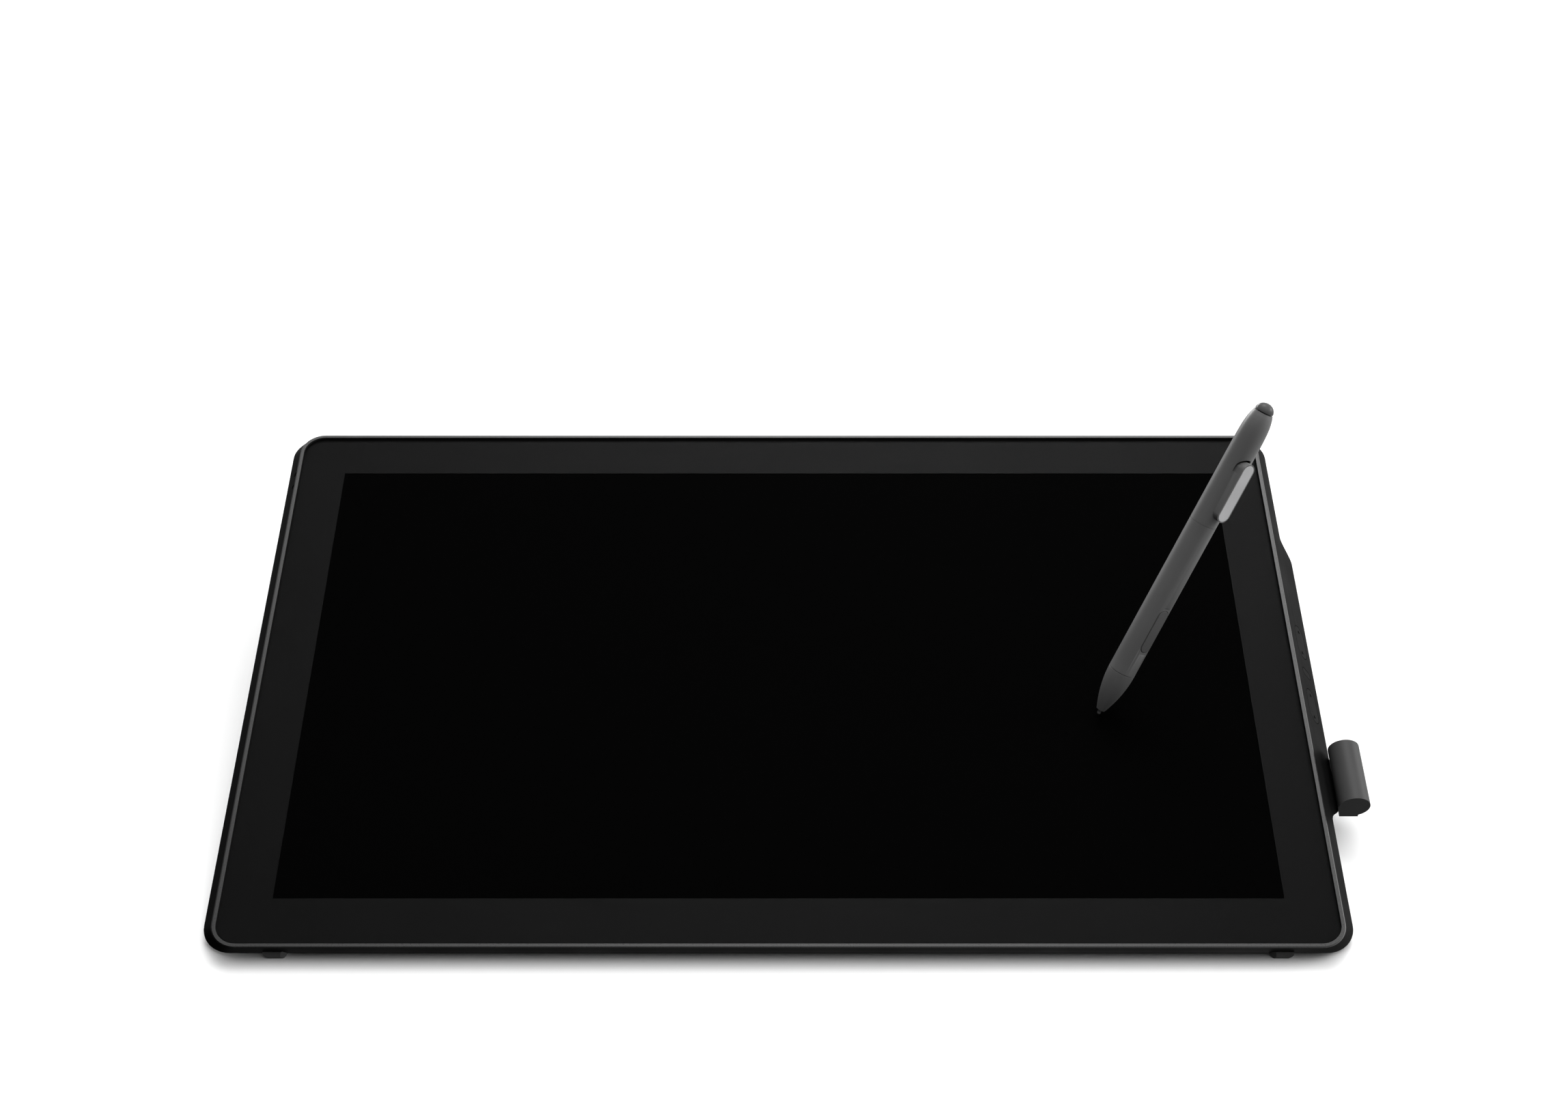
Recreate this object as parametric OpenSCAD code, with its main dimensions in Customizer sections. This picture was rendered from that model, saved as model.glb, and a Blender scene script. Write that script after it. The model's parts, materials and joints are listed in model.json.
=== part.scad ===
// Pen drawing tablet with a display, a fold-out stand and its pen.
// Display parts are drawn in plate coordinates: x to the right from the middle, y up the screen
// from the lit area's lower edge, and z out of the glass, whose face is at z = 0.
// plate() leans them back onto the table, and z = 0 in the finished part is the table top.

/* [Screen] */
// Width of the lit area
screen_w = 527; // [520:1:530]
// Height of the lit area
screen_h = 296.5; // [293:0.5:298]
// Black border beside the lit area
border_side = 26; // [25:0.5:27]
// Black border above and below the lit area
border_end = 27; // [26:0.5:28]
// Corner radius of the cover glass
glass_r = 11; // [8:1:13]
// Thickness of the cover glass
glass_t = 1.8; // [1.5:0.1:1.8]

/* [Casing] */
// Gap between the glass and the trim ring
rim_gap = 0.7; // [0.5:0.1:0.9]
// Width of the trim ring
rim_w = 2.05; // [1.9:0.05:2.2]
// Depth from the glass to the widest outline of the casing
side_depth = 10.5; // [10.2:0.1:10.8]
// How far the side walls flare outward over that depth
flare = 6.8; // [6.6:0.1:7]
// Depth of the rear housing behind the glass
hump_depth = 40; // [39:0.5:40.5]
// Wall thickness of the moulded covers
wall = 2.4; // [2.2:0.1:2.4]

/* [Controls] */
// Depth of the deeper wall on the right side
pod_depth = 21.5; // [21.3:0.1:21.7]
// Length of a rocker along the side wall
rocker_l = 22; // [21.5:0.5:23]
// Width of a rocker down the side wall
rocker_w = 12; // [11.5:0.5:13]

/* [Stand] */
// Lean of the screen from the table, at the stand's lowest stop
recline = 18; // [17.5:0.5:19]
// Length of the stand's leg from its hinge to its foot bar
leg_len = 145; // [140:1:148]
// Distance of each leg arm from the middle
arm_x = 115; // [112:1:118]

/* [Pen] */
// Length of the pen, nib to tail
pen_len = 195; // [194:0.5:196]
// Radius of the pen's barrel
pen_r = 7.6; // [7.5:0.05:7.65]
// Lean of the pen from the screen's normal
pen_lean = 39.8; // [36:0.1:42]
// Direction of that lean across the screen
pen_heading = 48.9; // [45:0.1:53]

/* [Hidden] */
$fn = 96;
hull_fn = 40;
slit = 0.01;
side = [-1, 1];

// Screen and casing outlines: half width, low edge, high edge and corner radius
rim_out = rim_gap + rim_w;
mid_v = screen_h / 2;
glass_line = [screen_w / 2 + border_side, -border_end, screen_h + border_end, glass_r];
front_line = grown(glass_line, rim_out);
front_x = front_line[0];
front_depth = 0.4;
foot_tuck = 2.5;
wide_line = [front_x + flare, front_line[1] + foot_tuck, front_line[2] + flare - 0.4, 16];
ring_t = 1.4;
ring_rise = 0.15;
wall_slope = flare / (side_depth - front_depth);
wall_tilt = 90 - atan(wall_slope);
parting = 0.1;

// Rear housing: a shallow belly that clears the table in front, and a deeper hump
lip_depth = 14;
lip_line = [288, -20, 327, 18];
belly_depth = 20;
belly_line = [268, 0, 316, 22];
hump_line = [200, 66, 248, 18];
hump_base = [200, 46, 250, 18];
chassis_top = -9.9;
chassis_t = 1.2;
chassis_low = chassis_top - chassis_t;
chassis_line = [285, -20, 317, 16];
hump_floor = -hump_depth;

// Layers behind the glass
mask_t = 0.2;
ledge_top = -2.05;
ledge_low = -4.25;
window_line = [272, -9, screen_h + 9, 4];
lcd_top = -2.2;
lcd_t = 2.2;
guide_top = -4.6;
guide_t = 2.4;
tray_low = -7.8;
tray_t = 0.6;
digitizer_top = -8;
digitizer_t = 1;
shield_top = -9.2;
shield_t = 0.5;
cable_slot = [30, 6];
cable_x = 22;
cable_v = 170;

// Control pod on the right side
pod_in_x = 268;
pod_low = 52.3;
pod_high = 253.7;
pod_ramp_low = 18;
pod_ramp_high = 13;
pod_steps = 8;
pod_wall = 2;
button_depth = 12.2;
upper_v = 175.5;
button_v = 153.2;
lower_v = 130.5;
button_gap = 0.35;
button_l = 4.6;
button_w = 10.2;
button_t = 2.6;
rocker_axis = -4;
rocker_pin_r = 1;
switch_arm = 7;
pcb_top = -5.8;
pcb_t = 1.2;
button_cable_v = 117;
button_cable_n = -13.9;

// Pen holder
holder_x = front_x + 20.65;
holder_n = -13;
holder_low = 63.8;
holder_l = 38.5;
holder_r = 8.5;
holder_bore_r = 7.75;
holder_floor = 3.2;
arm_v = 73;
arm_l = 20;
arm_low = -24;
holder_screw_places = [for (v = [77, 89]) [293, v]];

// Front feet, stand and the height of the plate over the table
foot_x = 259.1;
foot_v = -29.44;
foot_n = -12.3;
foot_l = 12;
bar_r = 6.5;
bar_height = 10;
hinge_v = 150;
hinge_n = hump_floor - 14;
hinge_r = 4;
arm_w = 18;
arm_t = 8;
ear_gap = 1.2;
ear_t = 4;
bracket_t = 3;
front_lift = -foot_v * sin(recline) - foot_n * cos(recline);
foot_y = foot_v * cos(recline) - foot_n * sin(recline);
hinge_y = hinge_v * cos(recline) - hinge_n * sin(recline);
hinge_z = hinge_v * sin(recline) + hinge_n * cos(recline) + front_lift;
leg_pitch = asin((hinge_z - bar_height) / leg_len);

// The origin lies on the table, under the middle of the whole part's box
front_reach = front_line[1] * cos(recline) + front_depth * sin(recline);
back_reach = wide_line[2] * cos(recline) + side_depth * sin(recline);
mid_x = (holder_x + holder_r - wide_line[0]) / 2;
mid_y = (front_reach + back_reach) / 2;

// Pen: stations along its axis, measured from the nib
pen_x = 176.8;
pen_v = 116.1;
pen_roll = 246;
nib_r = 1;
nib_gap = 0.2 + nib_r * (1 - cos(pen_lean));
nib_l = 30;
nib_travel = 0.5;
nose_start = 3;
nose_r = 2.46;
nose_end = 28.3;
mid_joint = 122.5;
tail_start = 165;
tail_end = 189.8;
tail_r = 5.4;
pen_bore_r = pen_r - 1.4;
seam = 0.12;
switch_mid = 57.5;
switch_l = 26.1;
switch_w = 6.4;
switch_top = pen_r - 0.25;
switch_axis = 3.9;
switch_floor = 5.2;
fin_mid = 145.5;
fin_l = 35.2;
fin_w = 8.8;
fin_top = 10.5;
fin_edge = 0.7;
eraser_travel = 0.5;
stem_r = 3.9;
run_fit = 0.05;

// Grows an outline by the same amount all round
function grown(line, by) = [line[0] + by, line[1] - by, line[2] + by, line[3] + by];
function between(a, b, part) = a + (b - a) * part;
function flared(depth) = between(front_line, wide_line, (depth - front_depth) / (side_depth - front_depth));
function side_x(depth) = front_x + wall_slope * (depth - front_depth);
function arc(r, from, to, steps) = [for (i = [0:steps]) r * [cos(between(from, to, i / steps)),
                                                             sin(between(from, to, i / steps))]];
function reversed(list) = [for (i = [1:len(list)]) list[len(list) - i]];
function nose_radius(t) =
    pen_r - (pen_r - nose_r) * pow(1 - (t - nose_start) / (nose_end - nose_start), 1.95);
function tail_radius(t) = pen_r - (pen_r - tail_r) * pow((t - tail_start) / (tail_end - tail_start), 4.5);

module world() {
    translate([-mid_x, -mid_y, 0])
        children();
}

module plate() {
    translate([-mid_x, -mid_y, front_lift])
        rotate([recline, 0, 0])
            children();
}

// The leg's own frame: y runs from the hinge axis to the foot bar, z is up through its thickness
module leg_frame() {
    world()
        translate([0, hinge_y, hinge_z])
            rotate([-leg_pitch, 0, 0])
                children();
}

// A place on the right wall, in plate coordinates: x runs down the slope, z out of the wall
module on_wall(v, depth = button_depth) {
    translate([side_x(depth), v, -depth])
        rotate([0, wall_tilt, 0])
            children();
}

// The pen's own frame: z runs from the nib to the tail, x points out through its side switch
module pen_frame() {
    plate()
        translate([pen_x, pen_v, nib_gap])
            rotate([0, pen_lean, pen_heading])
                rotate([0, 0, pen_roll])
                    children();
}

module outline(line) {
    w = 2 * line[0];
    h = line[2] - line[1];
    r = line[3];
    translate([-line[0], line[1]]) {
        translate([r, 0])
            square([w - 2 * r, h]);
        translate([0, r])
            square([w, h - 2 * r]);
        for (x = [r, w - r], y = [r, h - r])
            translate([x, y])
                circle(r);
    }
}

module pill(l, w) {
    square([w, l - w], center = true);
    for (s = side)
        translate([0, s * (l - w) / 2])
            circle(w / 2);
}

module slab(line, top, bottom) {
    translate([0, 0, bottom])
        linear_extrude(top - bottom)
            outline(line);
}

// Solid between one outline at the top and another at the bottom
module loft(upper, lower, top, bottom) {
    hull() {
        translate([0, 0, top - slit])
            linear_extrude(slit)
                outline(upper, $fn = hull_fn);
        translate([0, 0, bottom])
            linear_extrude(slit)
                outline(lower, $fn = hull_fn);
    }
}

module post(r, top, bottom) {
    translate([0, 0, bottom])
        cylinder(r = r, h = top - bottom);
}

// A screw with its head at the bottom and its shank pointing up
module screw(r, l, head_r, head_h) {
    cylinder(r = r, h = l);
    translate([0, 0, -head_h])
        difference() {
            cylinder(r = head_r, h = head_h);
            translate([0, 0, -slit])
                cylinder(r = r * 0.7, h = head_h * 0.6, $fn = 6);
        }
}

module cover_glass() {
    color([0.03, 0.03, 0.03])
        plate()
            slab(glass_line, 0, -glass_t);
}

module border_mask() {
    color([0.06, 0.06, 0.06])
        plate()
            difference() {
                slab(grown(glass_line, -0.3), -glass_t, -glass_t - mask_t);
                translate([-screen_w / 2, 0, -glass_t - 1])
                    cube([screen_w, screen_h, 2]);
            }
}

module trim_ring() {
    color([0.32, 0.32, 0.33])
        plate()
            difference() {
                loft(grown(front_line, -0.2), flared(ring_t), ring_rise, -ring_t);
                slab(grown(glass_line, rim_gap), 1, -3);
            }
}

// Eases from 0 to 1 with a level start and end
function eased(part) = pow(part, 3) * (10 - 15 * part + 6 * part * part);

function pod_ramp_points(from, to, inset) = [
    for (i = [0:pod_steps]) [
        between(from, to, i / pod_steps),
        -between(side_depth, pod_depth - inset, eased(i / pod_steps))
    ]
];

// The deeper wall on the right: it swells out at both ends, and the flared side plane cuts it
module pod_block(inset, top) {
    low = pod_low + inset;
    high = pod_high - inset;
    intersection() {
        translate([pod_in_x + inset, 0, 0])
            rotate([90, 0, 90])
                linear_extrude(60)
                    polygon(concat(
                        [[high, top], [low, top]],
                        pod_ramp_points(low, low + pod_ramp_low, inset),
                        reversed(pod_ramp_points(high, high - pod_ramp_high, inset))
                    ));
        translate([0, pod_high + 5, 0])
            rotate([90, 0, 0])
                linear_extrude(pod_high - pod_low + 10)
                    polygon([
                        [pod_in_x + inset, top],
                        [side_x(-top) - slit - 1.2 * inset, top],
                        [side_x(pod_depth + 1) - slit - 1.2 * inset, -pod_depth - 1],
                        [pod_in_x + inset, -pod_depth - 1]
                    ]);
    }
}

module rocker_outline(extra = 0) {
    pill(rocker_l + 2 * extra, rocker_w + 2 * extra);
}

module button_outline(extra = 0) {
    rotate(90)
        pill(button_w + 2 * extra, button_l + 2 * extra);
}

boss_x = 276;
boss_low = -12.7;
boss_high = 311;
boss_places = [
    for (s = side, v = [boss_low, 30, 265, boss_high]) [s * boss_x, v],
    for (x = [-140, 0, 140], v = [boss_low, boss_high]) [x, v]
];

module bezel_bosses() {
    for (p = boss_places)
        translate([p[0], p[1], 0])
            post(3.6, ledge_low + slit, chassis_top + 0.02);
}

// Two holes a pen's tether passes through, round the web between them
module tether_holes() {
    for (v = [286.3, 296.2])
        translate([-side_x(2.7), v, -2.7])
            rotate([0, -wall_tilt, 0])
                translate([0, 0, -6])
                    cylinder(r = 1.7, h = 8);
}

module holder_bosses() {
    for (p = holder_screw_places)
        translate([p[0], p[1], 0])
            post(2.9, -14.5, -pod_depth + 1);
}

module front_bezel() {
    color([0.13, 0.13, 0.14])
        difference() {
            plate()
                difference() {
                    union() {
                        difference() {
                            union() {
                                bezel_shell();
                                pod_block(0, -side_depth + 0.2);
                            }
                            pod_block(pod_wall, -8);
                        }
                        bezel_bosses();
                        holder_bosses();
                    }
                    slab(grown(glass_line, rim_gap), 1, ledge_top);
                    slab(window_line, 1, -9);
                    translate([pod_in_x - 1, button_cable_v - 4, button_cable_n - 0.4])
                        cube([4, 8, 1.2]);
                    for (p = boss_places)
                        translate([p[0], p[1], 0])
                            post(1.25, ledge_low - 1, chassis_top - 1);
                    for (v = [upper_v, lower_v])
                        on_wall(v)
                            translate([0, 0, -6])
                                linear_extrude(10)
                                    rocker_outline(button_gap);
                    on_wall(button_v)
                        translate([0, 0, -6])
                            linear_extrude(10)
                                button_outline(button_gap);
                    for (p = holder_screw_places)
                        translate([p[0], p[1], 0])
                            post(1.27, -15, -pod_depth - 1);
                    tether_holes();
                }
            foot_solids(0.1);
        }
}

// The bezel's flared walls, with the ledge the glass lies on
module bezel_shell() {
    difference() {
        loft(flared(ring_t + 0.05), wide_line, -ring_t - 0.05, -side_depth);
        loft(grown(flared(-ledge_low), -wall), grown(wide_line, -wall), ledge_low, -side_depth - 1);
    }
}

cover_screw_places = [for (x = [-255, 255], v = [10, 148, 300]) [x, v]];
vesa_places = [for (x = side, y = side) [50 * x, mid_v + 50 * y]];
bracket_holes = [21, 9];
stand_post_places = [for (s = side, x = side, y = side) [s * arm_x + x * bracket_holes[0],
                                                         hinge_v + y * bracket_holes[1]]];
// Video, data and power sockets on the left of the hump: place up the screen, width and height
ports = [[92, 15, 5.4], [116, 17, 5.6], [140, 12, 10.6], [162, 13, 5.6]];
jack_v = 186;
jack_size = 11;
port_n = -31;

// A foot under each front corner: a narrow sole, a front face that stands proud of the bezel,
// and a front corner cut back on the side that faces the middle
module foot_solids(extra = 0) {
    sole = 4.1 + extra;
    half = 6.5 + extra;
    step = 1.8 + extra;
    heel = foot_l + extra;
    world()
        for (m = [0, 1])
            mirror([m, 0, 0])
                translate([foot_x, foot_y, 0])
                    intersection() {
                        translate([0, 20, 0])
                            rotate([90, 0, 0])
                                linear_extrude(30)
                                    polygon([[-sole, -extra], [sole, -extra], [half, 2.6], [half, 6],
                                             [-half, 6], [-half, 2.6]]);
                        translate([-10, 0, 0])
                            rotate([90, 0, 90])
                                linear_extrude(20)
                                    polygon([[0, -extra], [heel, -extra], [heel, 2.9 + extra],
                                             [step, 2.9 + extra], [step, 4.7 + extra],
                                             [-0.4, 4.7 + extra], [-0.7, 1.8]]);
                        translate([0, 0, -1])
                            linear_extrude(8)
                                polygon([[-1.9 - extra, -1], [half, -1], [half, heel],
                                         [-half, heel], [-half, 2]]);
                    }
}

module cover_belly(inset, rise) {
    hull()
        for (level = [[wide_line, side_depth + parting + slit], [lip_line, lip_depth],
                      [belly_line, belly_depth]])
            translate([0, 0, rise - level[1]])
                linear_extrude(slit)
                    outline(grown(level[0], inset), $fn = hull_fn);
}

module vent_row(v) {
    for (i = [-13:13])
        translate([6 * i - 1.25, v - 7, hump_floor - 1])
            cube([2.5, 14, 2 + wall]);
}

module rear_cover() {
    inner = -wall;
    color([0.1, 0.1, 0.11])
        difference() {
            plate()
                difference() {
                    union() {
                        difference() {
                            union() {
                                cover_belly(0, 0);
                                loft(hump_base, hump_line, -belly_depth + 1, hump_floor);
                            }
                            cover_belly(inner / 2, wall * 0.8);
                            loft(grown(hump_base, inner), grown(hump_line, inner),
                                 -belly_depth + 4, hump_floor + wall);
                        }
                        for (p = cover_screw_places)
                            translate([p[0], p[1], 0])
                                post(4.5, chassis_low - 0.05, -belly_depth + 0.5);
                    }
                    pod_block(-0.2, 0);
                    for (p = cover_screw_places)
                        translate([p[0], p[1], 0]) {
                            post(1.7, chassis_low + 1, -belly_depth - 1);
                            post(3.3, -belly_depth + 2.1, -belly_depth - 1);
                        }
                    for (p = vesa_places)
                        translate([p[0], p[1], 0])
                            post(5.2, hump_floor + 5, hump_floor - 1);
                    for (p = stand_post_places)
                        translate([p[0], p[1], 0])
                            post(2.3, hump_floor + 5, hump_floor - 1);
                    for (v = [80, 222])
                        vent_row(v);
                    for (p = concat(ports, [[jack_v, jack_size, jack_size]]))
                        translate([-hump_line[0] - 1, p[0] - p[1] / 2 - 0.3, port_n - p[2] / 2 - 0.3])
                            cube([wall + 2, p[1] + 0.6, p[2] + 0.6]);
                    translate([hump_line[0] - wall - 1, 110, port_n - 1.5])
                        cube([wall + 2, 7, 3]);
                }
            foot_solids(0.1);
        }
}

module lcd_panel() {
    color([0.05, 0.05, 0.07])
        plate()
            slab([266, -2.5, screen_h + 2.5, 0.5], lcd_top, lcd_top - lcd_t);
}

module light_guide() {
    color([0.85, 0.87, 0.88])
        plate()
            slab([265, 0.5, screen_h + 2.5, 0.5], guide_top, guide_top - guide_t);
}

module led_bar() {
    color([0.9, 0.85, 0.6])
        plate() {
            translate([-262, -2.6, guide_top - guide_t])
                cube([524, 1.2, guide_t]);
            for (i = [-25:25])
                translate([i * 10 - 1.8, -1.5, guide_top - guide_t + 0.4])
                    cube([3.6, 1.4, 1.4]);
        }
}

module panel_tray() {
    color([0.6, 0.61, 0.62])
        plate()
            difference() {
                slab([268.4, -5, screen_h + 5, 2], lcd_top - lcd_t, tray_low);
                slab([268.4 - tray_t, -5 + tray_t, screen_h + 5 - tray_t, 1.4], 0, tray_low + tray_t);
                cable_window();
            }
}

module cable_window() {
    for (s = side)
        translate([s * cable_x - cable_slot[0] / 2, cable_v - cable_slot[1] / 2, -20])
            cube([cable_slot[0], cable_slot[1], 14]);
}

module digitizer_board() {
    color([0.05, 0.3, 0.16])
        plate()
            difference() {
                slab([267, -4, screen_h + 4, 2], digitizer_top, digitizer_top - digitizer_t);
                cable_window();
            }
}

module shield_plate() {
    color([0.7, 0.7, 0.68])
        plate()
            difference() {
                slab([267, -4, screen_h + 4, 2], shield_top, shield_top - shield_t);
                cable_window();
            }
}

module chassis_plate() {
    color([0.66, 0.67, 0.68])
        plate()
            difference() {
                slab(chassis_line, chassis_top, chassis_low);
                translate([pod_in_x - 1.5, pod_low - 2, chassis_low - 1])
                    cube([30, pod_high - pod_low + 4, 4]);
                cable_window();
                for (s = side)
                    translate([s * 175 - 30, 120, -20])
                        cube([60, 60, 20]);
                for (p = boss_places)
                    translate([p[0], p[1], 0])
                        post(1.6, 0, -20);
                for (p = cover_screw_places)
                    translate([p[0], p[1], 0])
                        post(1.52, 0, -20);
            }
}

module chassis_screws() {
    color([0.55, 0.55, 0.56])
        plate()
            for (p = boss_places)
                translate([p[0], p[1], chassis_low])
                    screw(1.23, 5.6, 2.6, 1);
}

module vesa_bosses() {
    color([0.75, 0.72, 0.6])
        plate()
            for (p = vesa_places)
                translate([p[0], p[1], 0])
                    difference() {
                        post(5, chassis_low, hump_floor);
                        post(2, chassis_low - 12, hump_floor - 1);
                    }
}

module stand_posts() {
    color([0.75, 0.72, 0.6])
        plate()
            for (p = stand_post_places)
                translate([p[0], p[1], 0])
                    difference() {
                        post(4.5, chassis_low, hump_floor + wall + 0.05);
                        post(2.02, hump_floor + 14, hump_floor);
                    }
}

board_top = -22;
board_t = 1.6;
main_size = [84, 104];
main_low = 66;
io_size = [50, 132];
io_left = -194;
io_low = 74;

module main_board() {
    color([0.06, 0.32, 0.18])
        plate()
            difference() {
                union() {
                    translate([-main_size[0] / 2, main_low, board_top - board_t])
                        cube([main_size[0], main_size[1], board_t]);
                    for (p = [[-30, 140, 20, 4], [12, 144, 16, 3], [-34, 76, 12, 6], [20, 74, 10, 5]])
                        translate([p[0], p[1], board_top - board_t - p[3]])
                            cube([p[2], 14, p[3] + 0.01]);
                }
                board_holes(main_places);
            }
}

main_places = [for (x = side, y = [main_low + 4, main_low + main_size[1] - 4]) [x * 38, y]];
io_places = [for (x = [io_left + 8, io_left + io_size[0] - 4],
                  y = [io_low + 4, io_low + io_size[1] - 4]) [x, y]];

module board_holes(places) {
    for (p = places)
        translate([p[0], p[1], 0])
            post(1.6, board_top + 1, board_top - board_t - 1);
}

module heat_spreader() {
    color([0.72, 0.73, 0.74])
        plate() {
            translate([-26, 92, board_top - board_t - 3])
                cube([52, 40, 2.9]);
            for (i = [0:12])
                translate([-26 + i * 4.25, 92, board_top - board_t - 11])
                    cube([1, 40, 8.1]);
        }
}

module io_board() {
    color([0.06, 0.3, 0.2])
        plate()
            difference() {
                union() {
                    translate([io_left, io_low, board_top - board_t])
                        cube([io_size[0], io_size[1], board_t]);
                    for (v = [96, 128, 160])
                        translate([-160, v, board_top - board_t - 9])
                            cylinder(r = 4.5, h = 9.01);
                }
                board_holes(io_places);
            }
}

module board_standoffs() {
    color([0.78, 0.66, 0.35])
        plate()
            for (p = concat(main_places, io_places))
                translate([p[0], p[1], board_top])
                    difference() {
                        cylinder(r = 3, h = chassis_low - board_top, $fn = 6);
                        translate([0, 0, -slit])
                            cylinder(r = 1.3, h = 7);
                    }
}

module board_screws() {
    color([0.6, 0.6, 0.61])
        plate()
            for (p = concat(main_places, io_places))
                translate([p[0], p[1], board_top - board_t])
                    screw(1.28, 6, 2.5, 1.4);
}

module port_sockets() {
    shell = 0.5;
    depth = 12;
    color([0.7, 0.7, 0.71])
        plate() {
            for (p = ports)
                translate([-hump_line[0] + 0.4, p[0] - p[1] / 2, port_n - p[2] / 2])
                    difference() {
                        cube([depth, p[1], p[2]]);
                        translate([-slit, shell, shell])
                            cube([depth - 3, p[1] - 2 * shell, (p[2] - 2 * shell) * 0.32]);
                        translate([-slit, shell, p[2] - shell - (p[2] - 2 * shell) * 0.32])
                            cube([depth - 3, p[1] - 2 * shell, (p[2] - 2 * shell) * 0.32]);
                    }
            translate([-hump_line[0] + 0.4, jack_v - jack_size / 2, port_n - jack_size / 2])
                difference() {
                    cube([depth, jack_size, jack_size]);
                    translate([-slit, jack_size / 2, jack_size / 2])
                        rotate([0, 90, 0])
                            difference() {
                                cylinder(r = 3.2, h = 9);
                                cylinder(r = 1, h = 9);
                            }
                }
        }
}

// A flat cable that runs down through the cable window and bends under the main board
module flat_cable(x, w, top) {
    low = board_top - board_t - 0.4;
    t = 0.3;
    translate([x - w / 2, cable_v + 1, 0])
        rotate([90, 0, 90])
            linear_extrude(w)
                polygon([[0, top], [t, top], [t, low], [-9, low], [-9, low + t], [0, low + t]]);
}

module panel_cable() {
    color([0.75, 0.5, 0.2])
        plate()
            flat_cable(-cable_x, 24, tray_low + 0.3);
}

module digitizer_cable() {
    color([0.75, 0.5, 0.2])
        plate()
            flat_cable(cable_x, 22, digitizer_top - 0.3);
}

lug_x = 2.45;

module button_board() {
    color([0.06, 0.32, 0.18])
        plate()
            on_wall(button_v)
                difference() {
                    translate([-8, -40, pcb_top - pcb_t])
                        cube([11.2, 80, pcb_t]);
                    for (v = [upper_v, lower_v], s = side)
                        translate([s * lug_x - 0.9, v - button_v - 2.2, -10])
                            cube([1.8, 4.4, 8]);
                }
}

module button_frame() {
    color([0.2, 0.2, 0.21])
        plate()
            on_wall(button_v)
                difference() {
                    union() {
                        translate([-8, -40, pcb_top - pcb_t - 1.2])
                            cube([11.2, 80, 1.1]);
                        for (v = [upper_v, lower_v], s = side)
                            translate([s * lug_x - 0.75, v - button_v - 2, pcb_top - pcb_t - 1.2])
                                cube([1.5, 4, 5.4]);
                    }
                    for (v = [upper_v, lower_v])
                        translate([-5, v - button_v, rocker_axis])
                            rotate([0, 90, 0])
                                cylinder(r = rocker_pin_r + 0.01, h = 10);
                }
}

module rocker_pins() {
    color([0.75, 0.75, 0.76])
        plate()
            for (v = [upper_v, lower_v])
                on_wall(v)
                    translate([-3.6, 0, rocker_axis])
                        rotate([0, 90, 0])
                            cylinder(r = rocker_pin_r, h = 7.2);
}

switch_places = [upper_v + switch_arm, upper_v - switch_arm, button_v, lower_v + switch_arm,
                 lower_v - switch_arm];

module tactile_switches() {
    color([0.3, 0.3, 0.31])
        plate()
            for (v = switch_places)
                on_wall(v) {
                    translate([-1.75, -1.75, pcb_top])
                        cube([3.5, 3.5, 1.4]);
                    translate([0, 0, pcb_top + 1.39])
                        cylinder(r = 0.8, h = 0.41);
                }
}

// Runs from the main board under the chassis and through the pod's wall to the button board
module button_cable() {
    high = button_cable_n;
    low = board_top + 0.1;
    t = 0.3;
    color([0.75, 0.5, 0.2])
        plate()
            translate([0, button_cable_v + 3, 0])
                rotate([90, 0, 0])
                    linear_extrude(6)
                        polygon([
                            [34, low], [50, low], [62, high], [284, high],
                            [284, high + t], [62, high + t], [50, low + t], [34, low + t]
                        ]);
}

module board_cable() {
    color([0.75, 0.5, 0.2])
        plate()
            translate([-152, 121, board_top + 0.1])
                cube([118, 12, 0.3]);
}

module rocker(v) {
    color([0.14, 0.14, 0.15])
        plate()
            on_wall(v)
                difference() {
                    union() {
                        translate([0, 0, -button_t])
                            linear_extrude(button_t)
                                rocker_outline();
                        translate([-1.45, -2, rocker_axis - 1.6])
                            cube([2.9, 4, 1.7 + button_t]);
                        for (s = side) {
                            translate([0, s * switch_arm, -3.65])
                                cylinder(r = 1.2, h = 2);
                            translate([0, s * 7.4, -0.5])
                                cylinder(r = 0.9, h = 0.85);
                        }
                    }
                    translate([-5, 0, rocker_axis])
                        rotate([0, 90, 0])
                            cylinder(r = rocker_pin_r + run_fit, h = 10);
                }
}

module upper_rocker() {
    rocker(upper_v);
}

module lower_rocker() {
    rocker(lower_v);
}

module centre_button() {
    color([0.14, 0.14, 0.15])
        plate()
            on_wall(button_v) {
                translate([0, 0, -button_t])
                    linear_extrude(button_t)
                        button_outline();
                translate([0, 0, -button_t - 0.6])
                    linear_extrude(0.7)
                        button_outline(0.7);
                translate([0, 0, -3.5])
                    cylinder(r = 1.2, h = 1);
            }
}

module cover_screws() {
    color([0.3, 0.3, 0.31])
        plate()
            for (p = cover_screw_places)
                translate([p[0], p[1], -belly_depth + 2])
                    screw(1.5, belly_depth - 2 + chassis_top, 3, 1.7);
}

module front_feet() {
    color([0.2, 0.2, 0.2])
        foot_solids();
}

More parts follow.
